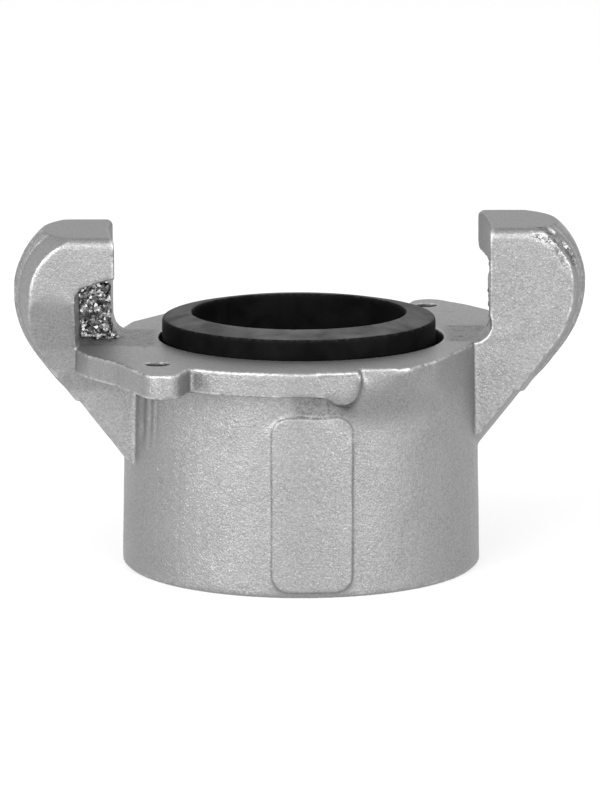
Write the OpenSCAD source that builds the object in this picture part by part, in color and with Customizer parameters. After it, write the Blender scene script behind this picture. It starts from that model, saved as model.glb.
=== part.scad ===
// Claw hose coupling half: one aluminium casting with two hooked claws, and its rubber gasket.
// Millimetres. The origin is the centre of the open pipe end, with +Z up to the sealing face
// and +X to the right-hand claw. Everything on the casting is there twice, half a turn apart.

/* [Socket body] */
// Outer radius at the pipe end
foot_r = 30.2; // [28.5:0.1:33]
// Outer radius where the body meets the face
neck_r = 29.5; // [28:0.1:32]
// Height of the flat face above the pipe end
face_z = 38.45; // [36:0.05:46]
// Rounding bevel on the outer edge of the pipe end
foot_bevel = 0.6; // [0.2:0.1:1.5]

/* [Pipe thread] */
// Radius at the crests of the pipe thread
thread_r = 22.2; // [20:0.1:23.5]
// Depth of the threaded wall, bevel included
thread_depth = 22; // [15:0.5:24]
// Radius of the bevelled mouth
mouth_r = 24.4; // [23.6:0.1:26]
// Radius of the passage above the thread
passage_r = 18; // [12:0.1:19]

/* [Gasket] */
// Radius of the recess that holds the gasket
recess_r = 23.9; // [22:0.1:25.5]
// Depth of the gasket recess
recess_depth = 9; // [6:0.1:10]
// Play between the gasket and the wall of its recess
gasket_play = 0.9; // [0.3:0.05:1.4]
// How far the loose gasket lies towards the left
gasket_shift = 0.4; // [0:0.05:0.8]
// Radius of the hole through the gasket
gasket_hole_r = 17.9; // [14:0.1:18.5]
// Height of the outer rim of the gasket above the face
gasket_rim_h = 3.5; // [2.5:0.1:5]
// Height of the inner lip of the gasket above the face
gasket_lip_h = 4.35; // [3:0.05:6]
// Bevel on the edges of the gasket
gasket_bevel = 0.4; // [0.1:0.05:0.8]

/* [Cam wing] */
// Thickness of the wing that the mating hook runs under
wing_t = 4.1; // [3.5:0.1:6]
// Radius of the outer edge of the cam bar
bar_r = 35.4; // [35:0.1:38]
// Place of the round bar end, to the right of the axis
bar_end_x = 9.7; // [6:0.1:11]
// Radius of the thick round bar end
bar_end_r = 3.1; // [2.5:0.05:3.4]
// How far the round bar end hangs below the wing
bar_end_drop = 1.8; // [0.5:0.1:2.5]
// Centre of the round boss on the wing, to the left of the axis
boss_x = 22.4; // [21:0.1:23]
// Centre of the round boss, in front of the axis
boss_y = 34; // [33:0.1:35]
// Radius of the boss
boss_r = 3.3; // [2.5:0.1:4]
// Radius of the safety pin holes
pin_hole_r = 1.95; // [1.2:0.05:2.4]
// Front pin hole, to the left of the axis
pin_x = 23.4; // [22:0.1:24.5]
// Front pin hole, in front of the axis
pin_y = 26.8; // [26:0.1:30]
// Rear pin hole, to the right of the axis
rear_pin_x = 21.8; // [21:0.1:24.5]
// Rear pin hole, behind the axis
rear_pin_y = 30.6; // [27:0.1:32]
// Radius at which the small corner beside the bar end stands
corner_r = 35.2; // [33:0.1:36]

/* [Claw] */
// Distance from the axis to the crown of a claw
claw_x = 47.7; // [45:0.1:52]
// Height of the hook underside above the face
notch_h = 12.15; // [10:0.05:15]
// Thickness of the hook
hook_t = 6.9; // [5:0.05:9]
// Distance from the axis to the inner face of a hook
hook_x = 31.75; // [30.5:0.05:33.5]
// How far the turned inner faces of the hooks lie towards the left
hook_shift = 0.2; // [0:0.05:0.4]
// Distance from the axis to the back wall of the notch
notch_x = 37.2; // [36:0.1:39]
// Closed side of a claw, before the axis
claw_front = 6.3; // [4:0.1:8]
// Open side of a claw, behind the axis
claw_back = 17.3; // [15:0.1:20]
// Face of the stop wall in the notch, behind the axis
stop_y = 2.5; // [0:0.1:5]
// Open side of the strut under a claw, behind the axis
strut_back = 11; // [9:0.1:13]

/* [Raised pad] */
// Width of the plain raised pad on the front
pad_w = 13.3; // [8:0.1:18]
// Height of the pad
pad_h = 29; // [15:0.1:30]
// Height of the lower edge of the pad
pad_z = 1; // [0.8:0.1:3]
// Middle of the pad, to the right of the axis
pad_x = 1.8; // [-3:0.1:5]
// How far the pad stands out
pad_t = 0.35; // [0.2:0.05:0.8]
// Corner radius of the pad
pad_corner = 2.8; // [1:0.1:4]

/* [Hidden] */
$fn = 96;

far = 200;
over = 1;
claw_top_z = face_z + notch_h + hook_t;
recess_z = face_z - recess_depth;
gasket_r = recess_r - gasket_play;
wing_z = face_z - wing_t;
wing_corner_y = 14;
// Bends of the wing's edge between claw and boss, front wing and rear wing
wing_bends = [
    [[-35.1, -18.4], [-30.2, -25.2], [-27.4, -31]],
    [[-35.2, -20.5], [-32.2, -26.6], [-29.3, -31]]
];
boss_edge_a = 35;
boss_step = [1, 3];
bar_end_edge = 1;
// Rim from the corner beside the bar end to the claw: angles and how far it stands out
corner_start_a = 28;
corner_rims = [
    [[30, corner_r - neck_r], [36, 4.1], [43.5, 2.7], [55, 0.6], [66, 0]],
    [[30, corner_r - neck_r], [38, 4.2], [48, 2.8], [56, 2.3], [64, 2.7], [80, 2]]
];
corner_drop = 9.6;
corner_sink = 0.2;
recess_chamfer = 0.15;
passage_cone = 1.4;
// Outline of a claw: crown arcs above and below its widest height
crown_z = face_z + 9.2;
crown_low_r = 18;
crown_high_r = 12.8;
slope_a = 37.7;
slope_l = 10;
low_c = [claw_x - crown_low_r, crown_z];
high_c = [claw_x - crown_high_r, crown_z];
strut_kink = 0.5;
root_share = 0.75;
strut_root_x = passage_r + (neck_r - passage_r) * root_share;
hook_tip_l = 2;
hook_tip_x = hook_x - hook_tip_l;
hook_tip_step = 1.9;
side_step = [2, 3];
crown_side_r = 28;
crown_y = 4.6;
edge_r = 1.6;
base_fillet = 2.7;
hook_arc_r = 110;
hook_chamfer = 0.6;
shoulder_z = face_z + 8.3;
notch_rise = 2.8;
notch_corner = 1.1;

// Points along an arc from angle a0 to angle a1
function arc(c, r, a0, a1, n = 10) =
    [for (i = [0:n]) let (a = a0 + (a1 - a0) * i / n) c + r * [cos(a), sin(a)]];

// Radius of the outer wall of the body at height z
function wall_r(z) = foot_r + (neck_r - foot_r) * z / face_z;

// Extrudes an outline drawn in X and Z along Y, from y0 to y1
module along_y(y0, y1) {
    translate([0, y1, 0]) rotate([90, 0, 0]) linear_extrude(y1 - y0) children();
}

// Extrudes an outline drawn in Y and Z along X, from x0 to x1
module along_x(x0, x1) {
    translate([x0, 0, 0]) rotate([90, 0, 90]) linear_extrude(x1 - x0) children();
}

// Turned outside of the socket, slightly tapered, with a bevel at the pipe end
module socket() {
    rotate_extrude() polygon([
        [0, 0],
        [foot_r - foot_bevel, 0],
        [wall_r(foot_bevel), foot_bevel],
        [neck_r, face_z],
        [0, face_z]
    ]);
}

// Threaded mouth, passage and gasket recess, taken out of the casting from below and above
module hollow() {
    rotate_extrude() polygon([
        [0, -over],
        [mouth_r + over, -over],
        [thread_r, mouth_r - thread_r],
        [thread_r, thread_depth],
        [passage_r, thread_depth + passage_cone],
        [passage_r, recess_z],
        [recess_r, recess_z],
        [recess_r, face_z - recess_chamfer],
        [recess_r + recess_chamfer + over, face_z + over],
        [0, face_z + over]
    ]);
}

// Plan of a wing on the front: root at the left claw, bent edge, boss and cam bar
module wing_plan(bends) {
    polygon(concat(
        [[0, 0], [-notch_x, 0], [-notch_x, -wing_corner_y]],
        bends,
        [[-boss_x - boss_r * cos(boss_edge_a), -boss_y - boss_r * sin(boss_edge_a)]],
        [[-boss_x + boss_r, -boss_y]],
        [[-boss_x + boss_r + boss_step[0], -boss_y + boss_step[1]], [0, -neck_r / 2]]
    ));
    translate([-boss_x, -boss_y]) circle(boss_r);
    intersection() {
        circle(bar_r);
        translate([-boss_x, -far]) square([boss_x + bar_end_x + bar_end_edge, far]);
    }
}

// Front view of a wing: a plain bar with a thicker round end on the right
module wing_front() {
    translate([-far, wing_z]) square([far + bar_end_x - bar_end_r, wing_t]);
    end_z = wing_z - bar_end_drop + bar_end_r;
    translate([bar_end_x - bar_end_r, end_z]) {
        circle(bar_end_r);
        square([bar_end_r - bar_end_edge, face_z - end_z]);
        square([bar_end_r, face_z - bar_end_edge - end_z]);
    }
    translate([bar_end_x - bar_end_edge, face_z - bar_end_edge]) circle(bar_end_edge);
}

// One cam wing, which the hook of the mating half slides under
module wing(bends) {
    intersection() {
        translate([0, 0, wing_z - bar_end_r]) linear_extrude(wing_t + bar_end_r) wing_plan(bends);
        along_y(-far, 0) wing_front();
    }
}

// Small pointed corner beyond the bar end, which fades down into the body
module face_corner(rim) {
    intersection() {
        translate([0, 0, face_z - corner_drop]) linear_extrude(corner_drop) polygon(concat(
            [[0, 0], [bar_end_x - bar_end_r, -neck_r]],
            [[bar_end_x - bar_end_r, -corner_r * cos(corner_start_a)]],
            [for (p = rim) (neck_r + p[1]) * [sin(p[0]), -cos(p[0])]]
        ));
        translate([0, 0, face_z - corner_drop])
            cylinder(h = corner_drop, r1 = neck_r - corner_sink, r2 = corner_r + corner_sink);
    }
}

// Front view of a right-hand claw, without its notch and with an open outer side
module claw_front_view() {
    polygon(concat(
        [[strut_root_x, 0], [far, 0], [far, claw_top_z]],
        arc([hook_tip_x + edge_r, claw_top_z - edge_r], edge_r, 90, 180, 5),
        arc([hook_tip_x + hook_tip_step - base_fillet, face_z + base_fillet],
            base_fillet, 0, -90, 6),
        [[strut_root_x, face_z]]
    ));
}

// Side view of a claw: full width at the hook, narrower at the strut, with round top edges
module claw_side_view() {
    polygon(concat(
        [[-claw_front, 0], [strut_back, 0], [strut_back, wing_z - side_step[1]]],
        [[strut_back + side_step[0], face_z], [claw_back, shoulder_z]],
        arc([claw_back - edge_r, claw_top_z - edge_r], edge_r, 0, 90, 5),
        arc([-claw_front + edge_r, claw_top_z - edge_r], edge_r, 90, 180, 5)
    ));
}

// Half of the section through a claw, r from its inner side to its crowned outer side
module crown_section(r) {
    intersection() {
        translate([r - crown_side_r, 0]) circle(crown_side_r);
        translate([0, -crown_low_r]) square([r, 2 * crown_low_r]);
    }
}

// The crowned section swung up about a point of the front view, from angle a0 by an angle
module crown_swing(c, r, a0, angle) {
    translate([c[0], crown_y, c[1]]) rotate([0, -a0, 0]) rotate([90, 0, 0])
        rotate_extrude(angle = angle) crown_section(r);
}

// The crowned section drawn along the slope of the strut, from u0 up to u1
module crown_slope(r, u0, u1) {
    translate([low_c[0], crown_y, low_c[1]]) rotate([0, slope_a, 0])
        translate([0, 0, u0]) linear_extrude(u1 - u0) crown_section(r);
}

// Everything inside the outer side of a claw, which is crowned because the mould parts along it
module crown() {
    crown_slope(crown_low_r, -slope_l, 0);
    crown_slope(crown_low_r - strut_kink, -far, -slope_l);
    crown_swing(low_c, crown_low_r, -slope_a, slope_a);
    crown_swing(high_c, crown_high_r, 0, 90);
    along_y(-crown_low_r, 2 * crown_low_r) polygon([
        low_c,
        low_c - far * [sin(slope_a), cos(slope_a)],
        [-far, claw_top_z + over],
        [high_c[0], claw_top_z + over],
        high_c
    ]);
}

// Space that the bar of the mating half turns into
module notch() {
    along_y(stop_y, far) polygon([
        [0, face_z],
        [notch_x, face_z],
        [notch_x, face_z + notch_h - notch_rise],
        [notch_x - notch_corner, face_z + notch_h - notch_rise / 2],
        [hook_x, face_z + notch_h],
        [0, face_z + notch_h]
    ]);
}

// One claw with its strut, stop wall and hook, its inner face moved inward or outward
module claw(shift) {
    difference() {
        intersection() {
            along_y(-far, far) claw_front_view();
            along_x(0, far) claw_side_view();
            crown();
        }
        notch();
        translate([hook_x + shift - hook_arc_r, 0, face_z + base_fillet])
            cylinder(h = far, r = hook_arc_r);
        translate([hook_x + shift - hook_arc_r, 0, claw_top_z - hook_chamfer])
            cylinder(h = 2 * hook_chamfer, r1 = hook_arc_r, r2 = hook_arc_r + 2 * hook_chamfer);
    }
}

// Plain raised pad on the front of the socket
module pad() {
    intersection() {
        along_y(-far, 0) translate([pad_x - pad_w / 2, pad_z]) {
            for (x = [pad_corner, pad_w - pad_corner], z = [pad_corner, pad_h - pad_corner])
                translate([x, z]) circle(pad_corner);
            translate([pad_corner, 0]) square([pad_w - 2 * pad_corner, pad_h]);
            translate([0, pad_corner]) square([pad_w, pad_h - 2 * pad_corner]);
        }
        cylinder(h = face_z, r1 = foot_r + pad_t, r2 = neck_r + pad_t);
    }
}

// The casting: socket, two wings, two claws and the pad, all one piece of metal
module coupling_body() {
    color("silver") difference() {
        union() {
            socket();
            for (side = [0, 1]) rotate(180 * side) {
                wing(wing_bends[side]);
                face_corner(corner_rims[side]);
                claw(side == 0 ? -hook_shift : hook_shift);
            }
            pad();
        }
        hollow();
        for (at = [[-pin_x, -pin_y], [rear_pin_x, rear_pin_y]])
            translate(at) cylinder(h = far, r = pin_hole_r);
    }
}

// Rubber gasket with a sloping top, resting on the floor of the recess
module gasket() {
    color("dimgray") translate([-gasket_shift, 0, 0]) rotate_extrude() polygon([
        [gasket_hole_r, recess_z],
        [gasket_r - gasket_bevel, recess_z],
        [gasket_r, recess_z + gasket_bevel],
        [gasket_r, face_z + gasket_rim_h - gasket_bevel],
        [gasket_r - gasket_bevel, face_z + gasket_rim_h],
        [gasket_hole_r + gasket_bevel, face_z + gasket_lip_h],
        [gasket_hole_r, face_z + gasket_lip_h - gasket_bevel]
    ]);
}

coupling_body();
gasket();
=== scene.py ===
# %% [markdown]
# A claw coupling is the quick joint of a blast or air hose. Each half is one aluminium casting with
# two hooked claws, and a rubber gasket stands a little out of its face. This lesson takes the exact
# model of that half and gives it the look of the real thing: a blasted, slightly soft casting, a pipe
# thread inside, and a moulded rubber ring.
# The exact model is the fixed frame. It is loaded first, and nothing here moves or resizes it.

# %% Load the frame
import bmesh
import bpy
import math
import numpy as np
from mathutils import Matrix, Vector


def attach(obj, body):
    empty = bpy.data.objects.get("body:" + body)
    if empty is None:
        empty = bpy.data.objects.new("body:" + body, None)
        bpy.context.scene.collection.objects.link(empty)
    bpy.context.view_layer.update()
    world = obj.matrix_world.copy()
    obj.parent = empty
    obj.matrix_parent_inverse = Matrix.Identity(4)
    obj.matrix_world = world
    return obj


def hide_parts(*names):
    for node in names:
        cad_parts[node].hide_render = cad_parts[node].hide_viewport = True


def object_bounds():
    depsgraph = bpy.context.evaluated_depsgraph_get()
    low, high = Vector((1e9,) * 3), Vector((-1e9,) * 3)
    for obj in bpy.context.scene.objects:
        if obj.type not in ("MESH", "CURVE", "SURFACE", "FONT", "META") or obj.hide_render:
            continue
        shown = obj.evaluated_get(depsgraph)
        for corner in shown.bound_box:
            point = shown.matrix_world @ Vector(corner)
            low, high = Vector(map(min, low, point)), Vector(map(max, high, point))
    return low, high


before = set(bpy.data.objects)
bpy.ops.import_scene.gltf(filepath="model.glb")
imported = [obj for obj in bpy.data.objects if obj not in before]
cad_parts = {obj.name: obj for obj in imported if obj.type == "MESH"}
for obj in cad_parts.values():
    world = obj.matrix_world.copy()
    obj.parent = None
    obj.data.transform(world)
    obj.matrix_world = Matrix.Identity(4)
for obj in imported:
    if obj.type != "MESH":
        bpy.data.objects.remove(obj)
CAD_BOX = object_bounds()
MM = 0.001
print("nodes:", sorted(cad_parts))

# %% [markdown]
# The camera comes early, because every later choice is judged through it. The picture was taken with
# a long lens from about 0.8 m away, looking down by about 11 degrees. The lens follows from the size
# of the coupling in a picture of 600 by 800 pixels, and Blender's sensor width lies along the longer
# side. The look-at point is on the axis, where the picture has its middle.

# %% Camera
PICTURE_HEIGHT = 800
SENSOR = 36.0
VIEW_DISTANCE = 800 * MM
VIEW_TILT = math.radians(10.8)
VIEW_SCALE = 5.93
AIM = Vector((-0.2 * MM, 0, 27.4 * MM))

focal_pixels = VIEW_SCALE * 800
camera_data = bpy.data.cameras.new("camera")
camera_data.sensor_width = SENSOR
camera_data.lens = focal_pixels / PICTURE_HEIGHT * SENSOR
camera_data.clip_start = 0.05
camera = bpy.data.objects.new("camera", camera_data)
camera.location = AIM + VIEW_DISTANCE * Vector((0, -math.cos(VIEW_TILT), math.sin(VIEW_TILT)))
camera.rotation_euler = (math.pi / 2 - VIEW_TILT, 0, 0)
bpy.context.scene.collection.objects.link(camera)
bpy.context.scene.camera = camera
print("lens in mm:", round(camera_data.lens, 1))


# %% [markdown]
# Helpers for meshes come next. A voxel remesh turns the exact solid into an even grid of small
# faces, and rounds every edge by about the size of a voxel, as a sand mould does. After that the
# points are a plain array of numbers, and all further shaping is arithmetic on that array: pulling
# each point towards its neighbours softens the form, and moving points along their normals adds what
# the mould and the tools left behind.

# %% Mesh helpers
def apply_modifiers(piece):
    """Bakes all modifiers of a piece into its mesh."""
    depsgraph = bpy.context.evaluated_depsgraph_get()
    shaped = bpy.data.meshes.new_from_object(piece.evaluated_get(depsgraph))
    piece.modifiers.clear()
    piece.data = shaped


def read_points(mesh):
    """The places of a mesh's points, in millimetres."""
    points = np.empty(len(mesh.vertices) * 3)
    mesh.vertices.foreach_get("co", points)
    return points.reshape(-1, 3) / MM


def write_points(mesh, points):
    """Puts points, in millimetres, back into a mesh."""
    mesh.vertices.foreach_set("co", (points * MM).ravel())
    mesh.update()


def read_normals(mesh):
    """The normal at each point of a mesh."""
    normals = np.empty(len(mesh.vertices) * 3)
    mesh.vertex_normals.foreach_get("vector", normals)
    return normals.reshape(-1, 3)


def read_edges(mesh):
    """The two ends of each edge, as two arrays of point numbers."""
    ends = np.empty(len(mesh.edges) * 2, dtype=np.int64)
    mesh.edges.foreach_get("vertices", ends)
    return ends.reshape(-1, 2).T


def neighbour_mean(values, a, b):
    """For each point, the mean of its neighbours' values."""
    total = np.bincount(a, values[b], len(values)) + np.bincount(b, values[a], len(values))
    count = np.bincount(a, minlength=len(values)) + np.bincount(b, minlength=len(values))
    return total / np.maximum(count, 1)


def soften(mesh, passes, share):
    """Pulls each point towards the middle of its neighbours. share has one number a point."""
    a, b = read_edges(mesh)
    points = read_points(mesh)
    for _ in range(passes):
        for axis in range(3):
            mean = neighbour_mean(points[:, axis], a, b)
            points[:, axis] += share * (mean - points[:, axis])
    write_points(mesh, points)


# %% [markdown]
# The shaping needs masks that fade in and out, and noise that comes out the same on every run. The
# noise is made from a grid of fixed numbers, one for each corner of a cell, with a smooth blend
# between the corners. The number of a corner comes from its place alone, so nothing is left to
# chance. Every detail of this casting is there twice, half a turn apart, so a mask is written once
# for the right-hand side and read again at the turned points for the left-hand side.

# %% Masks and noise
def smooth_step(low, high, value):
    """0 below low, 1 above high, and a smooth rise between."""
    t = np.clip((value - low) / (high - low), 0, 1)
    return t * t * (3 - 2 * t)


def inside(value, low, high, fade):
    """1 between low and high, falling to 0 over the distance fade outside them."""
    return smooth_step(low - fade, low, value) * (1 - smooth_step(high, high + fade, value))


def half_turn(points):
    """The same points seen from the other half of the coupling."""
    return points * (-1, -1, 1)


def corner_number(corner, key):
    """A fixed number from 0 to 1 for a corner of the grid."""
    mixed = np.sin(corner @ (12.99, 78.23, 37.72) + key) * 43758.5
    return mixed - np.floor(mixed)


def noise(points, size, key=0):
    """Smooth noise from -1 to 1 with cells of the given size."""
    grid = np.floor(points / size)
    part = points / size - grid
    part = part * part * (3 - 2 * part)
    total = np.zeros(len(points))
    for corner in np.ndindex(2, 2, 2):
        weight = np.prod(np.where(corner, part, 1 - part), axis=1)
        total += weight * corner_number(grid + corner, key)
    return 2 * total - 1


print("noise at one place:", noise(np.array([[1.0, 2.0, 3.0]]), 0.7))

# %% [markdown]
# The casting starts as a copy of the exact body. Its walls are closed, so a voxel remesh can read it
# as a volume. The voxel is small enough to keep the notch, the pad and the recess.
# The sizes below are read off the exact model, so that each later detail lands on its own feature.

# %% Casting from the exact body
VOXEL = 0.3
FACE_Z = 38.45
PIN_HOLES = ((-23.4, -26.8), (21.8, 30.6))

casting = bpy.data.objects.new("casting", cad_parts["coupling_body"].data.copy())
bpy.context.scene.collection.objects.link(casting)
even = casting.modifiers.new("even grid", "REMESH")
even.mode = "VOXEL"
even.voxel_size = VOXEL * MM
even.adaptivity = 0
apply_modifiers(casting)
casting.data.materials.clear()
print("casting points:", len(casting.data.vertices))

# %% [markdown]
# Sand-cast edges are round by half a millimetre or so, but some edges here were cut by a tool after
# casting and are sharp: the rim of the recess, the pipe end and the two pin holes. The pad's low
# step would also melt away. So the softening is weak at those places and strong everywhere else.

# %% Soft cast edges, crisp cut edges
points = read_points(casting.data)
x, y, z = points.T
radius = np.hypot(x, y)
crisp = inside(radius, 20, 24.8, 0.6) * smooth_step(28, 29, z)
crisp = np.maximum(crisp, 1 - smooth_step(1.2, 2.2, z))
crisp = np.maximum(crisp, inside(x, -6.5, 10, 1) * inside(z, 0, 31.5, 0.8) * (y < -26))
for hole_x, hole_y in PIN_HOLES:
    crisp = np.maximum(crisp, 1 - smooth_step(2.6, 3.4, np.hypot(x - hole_x, y - hole_y)))
soften(casting.data, 3, 0.5 - 0.42 * crisp)
print("crisp share of the points:", round(float(crisp.mean()), 2))

# %% [markdown]
# In two places the exact model has a plain bend where the real casting flows: the corner beside the
# bar end grows out of the wall without an edge, and the open side of each claw swells outward in one
# curve. Those areas are softened far more, but not their upper edges.

# %% Flowing corners and claw sides
front_x, front_y = x * -np.sign(y), -np.abs(y)
corner = inside(front_x, 4.5, 27, 1) * inside(z, 26.5, 36.2, 1) * smooth_step(28, 29, radius)
claw_side = inside(x * np.sign(y), 39.6, 42.6, 1.4) * smooth_step(11, 12.5, np.abs(y))
claw_side *= inside(z, 41, 50, 1.5)
soften(casting.data, 70, 0.5 * np.maximum(corner * (front_y < -8), claw_side))

# %% [markdown]
# The pipe thread is a groove that winds up the inside of the socket. On the real part it is cut with
# a tap, and it could be modelled as a swept triangle. Here the wall already has points every 0.3 mm,
# so each point is pushed outward by an amount that depends on its height and on its angle. That
# gives a true helix: one turn raises the groove by one pitch. It fades out at the top, where the tap
# ran out.

# %% Pipe thread
THREAD_PITCH = 25.4 / 11.5
THREAD_DEPTH = 1.45
THREAD_TOP = 20.5

points = read_points(casting.data)
x, y, z = points.T
radius = np.hypot(x, y)
turn = z / THREAD_PITCH + np.arctan2(y, x) / (2 * math.pi)
groove = 1 - np.abs(2 * (turn - np.floor(turn)) - 1)
groove = smooth_step(0.08, 0.92, groove)
bore_wall = (radius < 22.2 + 1.9) & (radius > 21.4)
share = bore_wall * (1 - smooth_step(THREAD_TOP - 4, THREAD_TOP, z)) * smooth_step(0.6, 1.9, z)
push = THREAD_DEPTH * share * groove
points[:, 0] += push * x / np.maximum(radius, 1)
points[:, 1] += push * y / np.maximum(radius, 1)
write_points(casting.data, points)
print("thread points:", int((push > 0).sum()))


# %% [markdown]
# Now come the marks of the mould and of rough use. All of them are small moves along the normal, each
# with its own mask:
# the whole casting waves a little, because sand gives way under the metal;
# two thin ridges run along the outer edge of each claw, where the two halves of the mould met;
# the stop wall in each notch was never cleaned up and is coarse, torn metal;
# the face around the claws is pitted, and so is the wall under the round bar end;
# the strut has draw marks beside it, where the pattern was pulled out of the sand;
# the end of each bar has a low step on its top;
# the outer front edge of the right claw is knocked about.
# The pipe end stays flat, and nothing grows past the outer sizes of the exact model.

# %% Places of the marks
def claw_marks(points):
    """Masks for the claw on the right-hand side: torn stop wall and pitted face."""
    x, y, z = points.T
    torn = inside(x, 30.8, 37.6, 0.4) * inside(y, 1.2, 3.3, 0.4) * inside(z, FACE_Z - 0.3, 50.8, 0.5)
    pitted = inside(x, 25.5, 36.8, 2) * inside(y, -5, 9, 2) * inside(z, FACE_Z - 0.4, 39.4, 0.5)
    return torn, pitted


def parting_ridges(points):
    """Mask for the thin ridges that the joint of the mould left on the outer side of each claw."""
    x, y, z = points.T
    outward = np.hypot(np.abs(x) - 32, z - 45)
    outer = smooth_step(11, 12.5, outward) * smooth_step(38, 40, np.abs(x)) * smooth_step(30, 34, z)
    ridge = np.zeros(len(x))
    for side, places in ((1, (-3.6, -1.9, 0.4)), (-1, (-11.6, -10.1, -8.2))):
        for place_y in places:
            ridge += (x * side > 0) * np.exp(-((y - place_y) / 0.32) ** 2)
    return outer * ridge


def knocked_edge(points):
    """Mask for the knocked front edge of the right claw, high on its outer side."""
    x, y, z = points.T
    from_centre = np.hypot(x - 34.9, z - 47.6)
    bearing = np.degrees(np.arctan2(z - 47.6, x - 34.9))
    patch = inside(from_centre, 9.7, 12.2, 0.6) * inside(bearing, 22, 66, 7) * inside(y, -7, -3.9, 0.6)
    return patch * smooth_step(-0.5, 0.3, noise(points, 1.5, 5) + 0.25)


def pin_hole_shade(points):
    """Mask for the walls of the two pin holes, which are painted dark as the shade inside them."""
    x, y, z = points.T
    near = [1 - smooth_step(2.1, 2.3, np.hypot(x - a, y - b)) for a, b in PIN_HOLES]
    return np.maximum(*near) * (1 - smooth_step(FACE_Z - 0.25, FACE_Z - 0.05, z))


def hook_shade_faces(points, normals):
    """Mask for painted shade on the inward ends of the hooks and, more weakly, on their upward tops."""
    x, y, z = points.T
    hook_end = inside(np.abs(x), 29, 33.5, 0.3) * smooth_step(0.6, 0.9, -normals[:, 0] * np.sign(x))
    hook_top = 0.4 * smooth_step(0.7, 0.95, normals[:, 2])
    return np.maximum(hook_end, hook_top) * smooth_step(49.5, 51, z)


def bar_marks(points):
    """Mask for the rough wall under the round bar end of the front wing."""
    x, y, z = points.T
    return inside(x, -0.5, 8, 1.5) * inside(z, 30.6, 33.4, 0.8) * (y < -24) * (y > -31.2)


def draw_marks(points):
    """Depth of the grooves on the wall beside the left strut, under the front wing."""
    x, y, z = points.T
    lean = 0.04 * (z - 30)
    depth = np.zeros(len(x))
    for place_x, width, deep in ((-26.3, 0.45, 0.3), (-24.9, 0.35, 0.16), (-23.9, 0.3, 0.12)):
        depth += deep * np.exp(-((x - place_x - lean) / width) ** 2)
    return depth * inside(z, 26, 35, 6) * (y < -10) * (y > -24)


def bar_step(points):
    """Mask for the low step on the top of the bar's end."""
    x, y, z = points.T
    return inside(x, 2.6, 9.8, 0.2) * smooth_step(31, 31.3, -y) * (z > FACE_Z - 0.3)


def both_sides(marks, points):
    """Masks of the right-hand side, joined with the same masks half a turn round."""
    return np.maximum(marks(points), marks(half_turn(points)))


# %% Marks of the mould and of use
RIDGE_HEIGHT = 0.3
points = read_points(casting.data)
normals = read_normals(casting.data)
torn, pitted = both_sides(claw_marks, points)
rough_wall = both_sides(bar_marks, points)
drawn = both_sides(draw_marks, points)
knocked = knocked_edge(points)
x, y, z = points.T
cut = np.maximum(crisp, inside(np.hypot(x, y), 0, 25.5, 0.5))

move = 0.05 * noise(points, 9, 1) + 0.035 * noise(points, 3.5, 2) + 0.012 * noise(points, 1.1, 3)
move *= 1 - 0.85 * cut
move += RIDGE_HEIGHT * parting_ridges(points)
move += 0.26 * torn * (noise(points, 1.15, 7) + 0.7 * noise(points, 0.62, 8))
move -= 0.09 * pitted * smooth_step(0.1, 0.7, noise(points, 0.9, 9) + 0.5 * noise(points, 2.2, 10))
move -= 0.1 * rough_wall * smooth_step(-0.2, 0.6, noise(points * (0.5, 1, 1.6), 0.9, 11))
move -= drawn * (1 + 0.4 * noise(points, 1.7, 12))
move += 0.12 * both_sides(bar_step, points)
move -= 0.3 * knocked * (0.9 + 0.9 * noise(points, 1.1, 13))
move *= smooth_step(0.1, 0.6, z)
points += move[:, None] * normals
margin = 0.01
low, high = np.array(CAD_BOX[0]) / MM + margin, np.array(CAD_BOX[1]) / MM - margin
write_points(casting.data, np.clip(points, low, high))
print("torn points:", int((torn > 0.5).sum()), "pitted points:", int((pitted > 0.5).sum()))
print("largest move in mm:", round(float(np.abs(move).max()), 2))

# %% [markdown]
# The grid has far more faces than the form needs. A decimation merges them where the casting is
# smooth and keeps them at edges, in the thread and on the torn walls.

# %% Fewer faces where the casting is smooth
TRIANGLE_LIMIT = 192000
triangles = sum(len(face.vertices) - 2 for face in casting.data.polygons)
fewer = casting.modifiers.new("fewer faces", "DECIMATE")
fewer.ratio = min(1, TRIANGLE_LIMIT / triangles)
apply_modifiers(casting)
casting.data.polygons.foreach_set("use_smooth", [True] * len(casting.data.polygons))
print("casting triangles:", triangles, "then", len(casting.data.polygons))


# %% [markdown]
# The material has to know where the casting has an edge, because handling polishes the edges of
# aluminium first and the edges also carry a painted highlight, and where it is torn or pitted. Those
# become named attributes of the mesh, along with masks for painted shade. An edge is found from the
# normals: where two neighbouring normals lean apart, the surface bulges, and how quickly they lean
# apart is its curvature.

# %% Attributes for the material
def curvature(mesh):
    """How much the surface bulges at each point, in one over millimetres."""
    a, b = read_edges(mesh)
    points, normals = read_points(mesh), read_normals(mesh)
    step = points[b] - points[a]
    bend = ((normals[b] - normals[a]) * step).sum(axis=1) / np.maximum((step ** 2).sum(axis=1), 1e-4)
    total = np.bincount(a, bend, len(points)) + np.bincount(b, bend, len(points))
    count = np.bincount(a, minlength=len(points)) + np.bincount(b, minlength=len(points))
    bulge = total / np.maximum(count, 1)
    for _ in range(2):
        bulge = 0.5 * bulge + 0.5 * neighbour_mean(bulge, a, b)
    return bulge


def store(mesh, name, values):
    """Keeps one number a point under a name that the material can read."""
    mesh.attributes.new(name, "FLOAT", "POINT").data.foreach_set("value", values.astype(np.float32))


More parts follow.
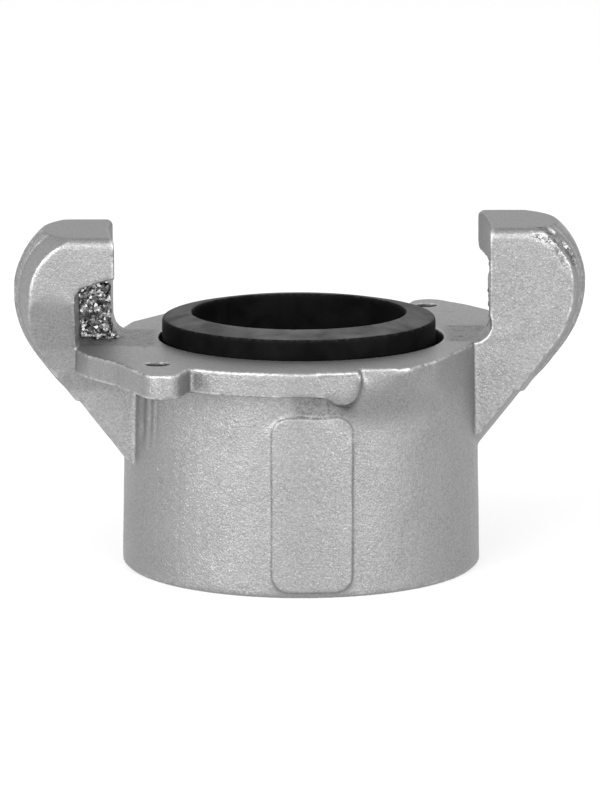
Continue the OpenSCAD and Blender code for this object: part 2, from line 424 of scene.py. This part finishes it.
points = read_points(casting.data)
torn, pitted = both_sides(claw_marks, points)
bulge = curvature(casting.data)
store(casting.data, "edge", smooth_step(0.3, 1.0, bulge))
store(casting.data, "torn", np.maximum(torn, 0.8 * knocked_edge(points)))
# painted shade inside the two pin holes
store(casting.data, "deep", pin_hole_shade(points))
# painted shade on the inward ends and upward tops of the hooks
store(casting.data, "hook_shade", hook_shade_faces(points, read_normals(casting.data)))
# the pitted mask also sets painted shade in the material
store(casting.data, "pitted", np.maximum(pitted, both_sides(bar_marks, points)))
print("edge points:", int((bulge > 0.6).sum()))

# %% [markdown]
# The gasket is moulded rubber and round about its own axis, which lies a little to the left of the
# coupling's. It could be remeshed like the casting, but a lathe gives a cleaner ring. The corners of
# its section are read from the exact model, the corners are then cut to round them, and the section
# is swung round in small steps.

# %% Section of the gasket
ring = read_points(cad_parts["gasket"].data)
centre_x = (ring[:, 0].max() + ring[:, 0].min()) / 2
section = np.column_stack([np.hypot(ring[:, 0] - centre_x, ring[:, 1]), ring[:, 2]])
section = np.unique(section.round(1), axis=0)
section = section[np.argsort(np.arctan2(*(section - section.mean(axis=0)).T))]
print("section corners, radius and height:", section.tolist())


# %% Rounded section, swung round
def cut_corners(loop, reach):
    """Replaces each corner of a closed loop by two points, at most reach away from it."""
    cut_loop = []
    for corner, last, following in zip(loop, np.roll(loop, 1, axis=0), np.roll(loop, -1, axis=0)):
        for way in (last - corner, following - corner):
            length = np.hypot(*way)
            cut_loop.append(corner + way / length * min(reach, length * 0.3))
    return np.array(cut_loop)


def fill_sides(loop, step):
    """Adds points along the long sides of a closed loop."""
    filled = []
    for start, end in zip(loop, np.roll(loop, -1, axis=0)):
        count = max(1, round(np.hypot(*(end - start)) / step))
        filled += [start + (end - start) * i / count for i in range(count)]
    return np.array(filled)


TURN_STEPS = 320
for reach in (0.35, 0.15, 0.06):
    section = cut_corners(section, reach)
section = fill_sides(section, 0.5)
size = len(section)
angles = np.arange(TURN_STEPS) / TURN_STEPS * 2 * math.pi
ring_x = centre_x + np.outer(np.cos(angles), section[:, 0])
ring_y = np.outer(np.sin(angles), section[:, 0])
ring_z = np.broadcast_to(section[:, 1], ring_x.shape)
ring_points = np.stack([ring_x, ring_y, ring_z], axis=2).reshape(-1, 3)
faces = []
for i in range(TURN_STEPS):
    here, there = i * size, (i + 1) % TURN_STEPS * size
    faces += [(here + j, there + j, there + (j + 1) % size, here + (j + 1) % size)
              for j in range(size)]
gasket_mesh = bpy.data.meshes.new("gasket_ring")
gasket_mesh.from_pydata((ring_points * MM).tolist(), [], faces)
gasket = bpy.data.objects.new("gasket_ring", gasket_mesh)
bpy.context.scene.collection.objects.link(gasket)
print("gasket faces:", len(faces))

# %% [markdown]
# The ring must have its normals outside, and it isn't perfect: rubber shrinks unevenly in the mould,
# so the surface waves by a few hundredths of a millimetre, and small nicks sit along its edges.

# %% Small faults of the gasket
work = bmesh.new()
work.from_mesh(gasket_mesh)
bmesh.ops.recalc_face_normals(work, faces=work.faces)
work.to_mesh(gasket_mesh)
work.free()
gasket_mesh.polygons.foreach_set("use_smooth", [True] * len(faces))
points = read_points(gasket_mesh)
normals = read_normals(gasket_mesh)
rim = smooth_step(0.2, 0.8, curvature(gasket_mesh))
nicks = rim * smooth_step(0.45, 0.8, noise(points, 1.3, 21))
fault = -0.02 - 0.018 * noise(points, 7, 22) - 0.08 * nicks
write_points(gasket_mesh, points + fault[:, None] * normals)
store(gasket_mesh, "edge", rim)
# upward faces, made paler in the material as dust and painted sheen
store(gasket_mesh, "upper", smooth_step(0.6, 0.95, normals[:, 2]))
print("nicked points:", int((nicks > 0.3).sum()))


# %% [markdown]
# Materials are trees of nodes. Two small helpers keep them readable: one places a node and fills its
# sockets, the other adds a piece of arithmetic. An effect that both materials need is a node group:
# it is built once and placed with other numbers in each material. A group here only puts out masks,
# values and normals, and the shader itself stays in the material.

# %% Node helpers
def fill(tree, socket, value):
    """Fills a socket with a number or a colour, or links it to another socket."""
    if isinstance(value, bpy.types.NodeSocket):
        tree.links.new(value, socket)
    else:
        socket.default_value = value


def place(tree, kind, sockets=None, **settings):
    """Adds a node, sets its options and fills its sockets."""
    made = tree.nodes.new(kind)
    for name, value in settings.items():
        setattr(made, name, value)
    for name, value in (sockets or {}).items():
        fill(tree, made.inputs[name], value)
    return made


def maths(tree, operation, *values, clamp=False):
    """One piece of arithmetic on one to three values."""
    made = place(tree, "ShaderNodeMath", dict(enumerate(values)), operation=operation)
    made.use_clamp = clamp
    return made.outputs[0]


def remap(tree, value, low, high, to_low=0.0, to_high=1.0):
    """Stretches low to high onto another range, and clamps the rest."""
    sockets = {"Value": value, "From Min": low, "From Max": high, "To Min": to_low, "To Max": to_high}
    return place(tree, "ShaderNodeMapRange", sockets).outputs[0]


def blend(tree, share, a, b):
    """Mixes two colours."""
    made = place(tree, "ShaderNodeMix", {0: share}, data_type="RGBA")
    for socket, value in zip([s for s in made.inputs if s.type == "RGBA"], (a, b)):
        fill(tree, socket, value)
    return [s for s in made.outputs if s.type == "RGBA"][0]


def grey(level):
    """A neutral colour."""
    return (level, level, level, 1)


FLOAT, VECTOR = "NodeSocketFloat", "NodeSocketVector"


def new_group(name, inputs, outputs):
    """Starts a node group with named sockets. Gives the group, its inputs and its output node."""
    group = bpy.data.node_groups.new(name, "ShaderNodeTree")
    for socket, kind in inputs.items():
        group.interface.new_socket(socket, in_out="INPUT", socket_type=kind)
    for socket, kind in outputs.items():
        group.interface.new_socket(socket, in_out="OUTPUT", socket_type=kind)
    start = group.nodes.new("NodeGroupInput")
    return group, start.outputs, group.nodes.new("NodeGroupOutput")


def use_group(tree, group, **sockets):
    """Places a node group. An underscore in a name stands for a space."""
    made = tree.nodes.new("ShaderNodeGroup")
    made.node_tree = group
    for name, value in sockets.items():
        fill(tree, made.inputs[name.replace("_", " ")], value)
    return made.outputs


# %% [markdown]
# Blasted metal and moulded rubber both have a fine grain, each of its own size. The grain is noise
# at two sizes, the second a third of the first. The height goes to the bump, and the tone to colour
# and roughness.

# %% Fine grain
grain_group, given, end = new_group(
    "fine grain", {"Vector": VECTOR, "Size in mm": FLOAT}, {"Height": FLOAT, "Tone": FLOAT})
cells = maths(grain_group, "DIVIDE", 1 / MM, given["Size in mm"])
coarse = place(grain_group, "ShaderNodeTexNoise",
               {"Vector": given["Vector"], "Scale": cells, "Detail": 2.0, "Roughness": 0.55})
fine = place(grain_group, "ShaderNodeTexNoise",
             {"Vector": given["Vector"], "Scale": maths(grain_group, "MULTIPLY", cells, 3.1),
              "Detail": 1.0})
height = maths(grain_group, "MULTIPLY_ADD", fine.outputs[0], 0.4, coarse.outputs[0])
fill(grain_group, end.inputs["Height"], height)
fill(grain_group, end.inputs["Tone"], remap(grain_group, height, 0.5, 0.9))
print("fine grain:", [s.name for s in grain_group.interface.items_tree])

# %% [markdown]
# Grit leaves thousands of tiny facets, and here and there one catches the light. A Voronoi texture
# cuts the surface into cells and gives each a random colour. That colour, read as a direction, tilts
# the normal of its cell, and only the cells above a limit are tilted. The same group gives the torn
# walls their hard glitter, with larger cells and a larger share.

# %% Sparkle
sparkle_group, given, end = new_group(
    "sparkle", {"Vector": VECTOR, "Normal": VECTOR, "Size in mm": FLOAT, "Share": FLOAT,
                "Tilt": FLOAT}, {"Mask": FLOAT, "Normal": VECTOR})
cells = maths(sparkle_group, "DIVIDE", 1 / MM, given["Size in mm"])
facets = place(sparkle_group, "ShaderNodeTexVoronoi", {"Vector": given["Vector"], "Scale": cells})
split = place(sparkle_group, "ShaderNodeSeparateColor", {"Color": facets.outputs["Color"]})
limit = maths(sparkle_group, "SUBTRACT", 1.0, given["Share"])
chosen = maths(sparkle_group, "GREATER_THAN", split.outputs["Red"], limit)
lean = place(sparkle_group, "ShaderNodeVectorMath",
             {0: facets.outputs["Color"], 1: (0.5, 0.5, 0.5)}, operation="SUBTRACT")
lean = place(sparkle_group, "ShaderNodeVectorMath",
             {0: lean.outputs[0], "Scale": maths(sparkle_group, "MULTIPLY", chosen, given["Tilt"])},
             operation="SCALE")
tilted = place(sparkle_group, "ShaderNodeVectorMath",
               {0: given["Normal"], 1: lean.outputs[0]}, operation="ADD")
tilted = place(sparkle_group, "ShaderNodeVectorMath", {0: tilted.outputs[0]}, operation="NORMALIZE")
fill(sparkle_group, end.inputs["Mask"], chosen)
fill(sparkle_group, end.inputs["Normal"], tilted.outputs[0])
print("sparkle nodes:", len(sparkle_group.nodes))

# %% [markdown]
# Worn edges and painted highlights: the mesh says where an edge is, and noise breaks the line up, so
# that it is bright in some stretches and gone in others. On the metal the mask smooths the edge and
# brightens its colour, partly as wear and partly as a painted highlight; on the rubber it pales.

# %% Worn edges and painted highlights
wear_and_highlight_group, given, end = new_group(
    "worn edges", {"Vector": VECTOR, "Edge": FLOAT, "Size in mm": FLOAT, "Wear": FLOAT},
    {"Mask": FLOAT})
patches = place(wear_and_highlight_group, "ShaderNodeTexNoise",
                {"Vector": given["Vector"], "Detail": 3.0, "Roughness": 0.65,
                 "Scale": maths(wear_and_highlight_group, "DIVIDE", 1 / MM, given["Size in mm"])})
level = remap(wear_and_highlight_group, maths(wear_and_highlight_group, "ADD", patches.outputs[0], given["Wear"]), 0.85, 1.25)
fill(wear_and_highlight_group, end.inputs["Mask"], maths(wear_and_highlight_group, "MULTIPLY", level, given["Edge"], clamp=True))
print("worn edges nodes:", len(wear_and_highlight_group.nodes))

# %% [markdown]
# Clouds: slow changes of tone over a few millimetres. Oxide and handling make the metal cloudy, and
# a pale bloom does the same to the rubber.

# %% Clouds
cloud_group, given, end = new_group(
    "clouds", {"Vector": VECTOR, "Size in mm": FLOAT}, {"Mask": FLOAT})
cloud = place(cloud_group, "ShaderNodeTexNoise",
              {"Vector": given["Vector"], "Detail": 3.0, "Distortion": 0.4,
               "Scale": maths(cloud_group, "DIVIDE", 1 / MM, given["Size in mm"])})
fill(cloud_group, end.inputs["Mask"], remap(cloud_group, cloud.outputs[0], 0.35, 0.65))
print("clouds nodes:", len(cloud_group.nodes))


# %% [markdown]
# The raised pad is only a third of a millimetre high, which is less than the grid of the mesh can
# keep sharp, so the shade along its step is painted as a thin dark line, and the bump dips along it.
# The distance to a rounded rectangle is short arithmetic: fold the place into one quarter, move it by
# the half sizes less the corner, and take the length of what is left outside. Where that distance is
# near zero the mask is 1, on the front only.

# %% Outline of the pad
PAD_X, PAD_LOW, PAD_WIDTH, PAD_HEIGHT, PAD_CORNER = 1.8, 1, 13.3, 29, 2.8
outline_group, given, end = new_group(
    "pad outline", {"Vector": VECTOR, "Width in mm": FLOAT}, {"Mask": FLOAT})
at = place(outline_group, "ShaderNodeSeparateXYZ", {"Vector": given["Vector"]}).outputs
sides = []
for socket, middle, half in (("X", PAD_X, PAD_WIDTH / 2), ("Z", PAD_LOW + PAD_HEIGHT / 2, PAD_HEIGHT / 2)):
    from_middle = maths(outline_group, "MULTIPLY_ADD", at[socket], 1 / MM, -middle)
    folded = maths(outline_group, "ABSOLUTE", from_middle)
    sides.append(maths(outline_group, "SUBTRACT", folded, half - PAD_CORNER))
outer = place(outline_group, "ShaderNodeCombineXYZ", {
    "X": maths(outline_group, "MAXIMUM", sides[0], 0.0),
    "Y": maths(outline_group, "MAXIMUM", sides[1], 0.0)})
length = place(outline_group, "ShaderNodeVectorMath", {0: outer.outputs[0]}, operation="LENGTH")
inner = maths(outline_group, "MINIMUM", maths(outline_group, "MAXIMUM", *sides), 0.0)
distance = maths(outline_group, "ADD", length.outputs["Value"], inner)
distance = maths(outline_group, "ABSOLUTE", maths(outline_group, "SUBTRACT", distance, PAD_CORNER))
pad_shade_line = remap(outline_group, maths(outline_group, "DIVIDE", distance, given["Width in mm"]), 0, 1, 1, 0)
front = maths(outline_group, "LESS_THAN", at["Y"], -20 * MM)
fill(outline_group, end.inputs["Mask"], maths(outline_group, "MULTIPLY", pad_shade_line, front))
print("pad outline nodes:", len(outline_group.nodes))


# %% [markdown]
# The aluminium is as cast and then blasted with grit: a bare grey metal with a wide, soft gloss. Its
# base is metallic with a middle roughness, so it takes its brightness from what stands around it.
# Its skin of oxide mirrors less than bare metal where the surface is seen edge on.
# Grain and clouds change the tone. Worn edges are smoother, and their brighter colour is partly wear
# and partly a painted highlight. The pitted areas under the hooks and the bar ends carry painted shade,
# darkest in the pits, and torn walls are a darker grey. Painted shade also darkens the pin holes, the
# ends and tops of the hooks and a thin line round the pad.

# %% Cast aluminium
def start_material(name):
    """A material with its tree, its shader and the place on the object as a vector."""
    material = bpy.data.materials.new(name)
    material.use_nodes = True
    tree = material.node_tree
    place_on_object = place(tree, "ShaderNodeTexCoord").outputs["Object"]
    return material, tree, tree.nodes["Principled BSDF"], place_on_object


def stored(tree, name):
    """Reads a named attribute of the mesh."""
    return place(tree, "ShaderNodeAttribute", attribute_name=name).outputs["Fac"]


aluminium, tree, shader, where = start_material("cast_aluminium")
names = ("edge", "torn", "pitted", "deep", "hook_shade")
edge, torn, pitted, deep, hook_shade = (stored(tree, name) for name in names)
grain = use_group(tree, grain_group, Vector=where, Size_in_mm=0.34)
peel = use_group(tree, grain_group, Vector=where, Size_in_mm=0.95)
clouds = use_group(tree, cloud_group, Vector=where, Size_in_mm=7.0)
wear = use_group(tree, wear_and_highlight_group, Vector=where, Edge=edge, Size_in_mm=1.1, Wear=0.5)
pits = use_group(tree, cloud_group, Vector=where, Size_in_mm=0.8)

tone = blend(tree, grain["Tone"], grey(0.22), grey(0.335))
tone = blend(tree, maths(tree, "MULTIPLY", clouds["Mask"], 0.3), tone, grey(0.33))
# painted shade over the pitted areas under the hooks and bar ends, darkest in the pits
pitted_shade = maths(tree, "MULTIPLY", pits["Mask"], maths(tree, "MULTIPLY", pitted, 0.8))
pitted_shade = maths(tree, "MAXIMUM", pitted_shade, maths(tree, "MULTIPLY", pitted, 0.4))
tone = blend(tree, pitted_shade, tone, grey(0.12))
tone = blend(tree, maths(tree, "MULTIPLY", torn, 0.35), tone, grey(0.2))
# painted shade: the ends and tops of the hooks are darkened
tone = blend(tree, hook_shade, tone, grey(0.15))
# brighter edge colour: partly polish from wear, partly a painted highlight
worn_edge_highlight = maths(tree, "MULTIPLY", wear["Mask"], maths(tree, "MULTIPLY_ADD", torn, -0.8, 0.9))
tone = blend(tree, worn_edge_highlight, tone, grey(0.8))
# painted shade: the walls of the pin holes are made near black
tone = blend(tree, maths(tree, "MULTIPLY", deep, 0.85), tone, grey(0.03))
# painted shade: a thin dark line round the pad
pad_shade_line = use_group(tree, outline_group, Vector=where, Width_in_mm=0.3)
tone = blend(tree, maths(tree, "MULTIPLY", pad_shade_line["Mask"], 0.6), tone, grey(0.12))
fill(tree, shader.inputs["Base Color"], tone)

rough = remap(tree, grain["Tone"], 0, 1, 0.5, 0.4)
rough = maths(tree, "SUBTRACT", rough, maths(tree, "MULTIPLY", worn_edge_highlight, 0.1))
rough = maths(tree, "SUBTRACT", rough, maths(tree, "MULTIPLY", torn, 0.16))
fill(tree, shader.inputs["Roughness"], rough)
shader.inputs["Metallic"].default_value = 1.0
shader.inputs["Specular Tint"].default_value = grey(0.9)

lift = maths(tree, "MULTIPLY_ADD", peel["Height"], 1.1, grain["Height"])
lift = maths(tree, "ADD", lift, maths(tree, "MULTIPLY", pitted, pits["Mask"]))
lift = maths(tree, "SUBTRACT", lift, pad_shade_line["Mask"])
bump = place(tree, "ShaderNodeBump", {"Height": lift, "Strength": 0.55, "Distance": 0.09 * MM})
fine_sparkle = use_group(tree, sparkle_group, Vector=where, Normal=bump.outputs["Normal"],
                         Size_in_mm=0.16, Share=0.22, Tilt=0.34)
glitter = use_group(tree, sparkle_group, Vector=where, Normal=fine_sparkle["Normal"],
                    Size_in_mm=0.45, Share=0.8, Tilt=maths(tree, "MULTIPLY", torn, 1.3))
fill(tree, shader.inputs["Normal"], glitter["Normal"])
casting.data.materials.append(aluminium)
print("aluminium nodes:", len(tree.nodes))

# %% [markdown]
# The gasket is black rubber with a dull, even skin. It has the same grain group at another size, a
# pale bloom in clouds, a paler upper side that is partly dust and partly painted sheen, and slightly
# paler edges. It is not metallic, and its gloss is weak.

# %% Black rubber
rubber, tree, shader, where = start_material("black_rubber")
grain = use_group(tree, grain_group, Vector=where, Size_in_mm=0.3)
bloom = use_group(tree, cloud_group, Vector=where, Size_in_mm=5.0)
wear = use_group(tree, wear_and_highlight_group, Vector=where, Edge=stored(tree, "edge"), Size_in_mm=0.9, Wear=0.4)
tone = blend(tree, bloom["Mask"], grey(0.002), grey(0.005))
dust_and_sheen = blend(tree, bloom["Mask"], grey(0.05), grey(0.1))
# upward faces paler: partly dust, partly painted sheen
tone = blend(tree, maths(tree, "MULTIPLY", stored(tree, "upper"), 0.8), tone, dust_and_sheen)
tone = blend(tree, maths(tree, "MULTIPLY", wear["Mask"], 0.5), tone, grey(0.06))
fill(tree, shader.inputs["Base Color"], tone)
fill(tree, shader.inputs["Roughness"], remap(tree, grain["Tone"], 0, 1, 0.62, 0.5))
shader.inputs["Specular IOR Level"].default_value = 0.03
bump = place(tree, "ShaderNodeBump",
             {"Height": grain["Height"], "Strength": 0.5, "Distance": 0.04 * MM})
fill(tree, shader.inputs["Normal"], bump.outputs["Normal"])
gasket_mesh.materials.append(rubber)
print("rubber nodes:", len(tree.nodes))

# %% [markdown]
# The stage is a pale floor in front of a white surround. For the camera, and for what the metal
# mirrors, floor and surround are white at a strength of 1. For all other light they are quieter. The
# floor mixes that white with a plain white paint, so it keeps the soft shadow of the coupling.

# %% Floor and surround
def seen_directly(tree):
    """1 for rays from the camera, off gloss or through glass, 0 for the rest."""
    path = place(tree, "ShaderNodeLightPath").outputs
    seen = maths(tree, "MAXIMUM", path["Is Camera Ray"], path["Is Glossy Ray"])
    return maths(tree, "MAXIMUM", seen, path["Is Transmission Ray"])


bpy.ops.mesh.primitive_plane_add(size=6)
floor = bpy.context.object
floor.name = "floor"
paint, tree, shader, where = start_material("floor")
shader.inputs["Base Color"].default_value = grey(0.95)
shader.inputs["Roughness"].default_value = 0.9
white = place(tree, "ShaderNodeEmission", {"Color": grey(1.0), "Strength": 1.0})
share = maths(tree, "MULTIPLY", seen_directly(tree), 0.6)
mixed = place(tree, "ShaderNodeMixShader",
              {0: share, 1: shader.outputs[0], 2: white.outputs[0]})
fill(tree, tree.nodes["Material Output"].inputs["Surface"], mixed.outputs[0])
floor.data.materials.append(paint)

world = bpy.data.worlds.new("studio")
world.use_nodes = True
tree = world.node_tree
background = tree.nodes["Background"]
background.inputs["Color"].default_value = grey(1.0)
fill(tree, background.inputs["Strength"], remap(tree, seen_directly(tree), 0, 1, 0.8, 1.0))
bpy.context.scene.world = world
bpy.context.scene.view_settings.view_transform = "Standard"


# %% [markdown]
# The light is what a product photographer would set up: two large soft boxes beside the camera, the
# left one a little stronger. Together they wrap the front of the socket in one wide highlight, and
# its sides fall back to the plain surround.

# %% Soft boxes
def soft_box(name, bearing, height, distance, width, tall, power):
    """A large lamp, placed by its bearing from the front and aimed at the coupling."""
    lamp = bpy.data.lights.new(name, "AREA")
    lamp.shape = "RECTANGLE"
    lamp.size, lamp.size_y = width, tall
    lamp.energy = power
    box = bpy.data.objects.new(name, lamp)
    angle = math.radians(bearing)
    box.location = (distance * math.sin(angle), -distance * math.cos(angle), height)
    aim = Vector((0, 0, 30 * MM)) - box.location
    box.rotation_euler = aim.to_track_quat("-Z", "Y").to_euler()
    bpy.context.scene.collection.objects.link(box)


soft_box("left box", -42, 0.62, 1.3, 1.5, 1.1, 23)
soft_box("right box", 40, 0.62, 1.3, 1.5, 1.1, 18)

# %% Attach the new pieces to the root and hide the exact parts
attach(casting, "root")
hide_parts("coupling_body")
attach(gasket, "root")
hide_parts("gasket")
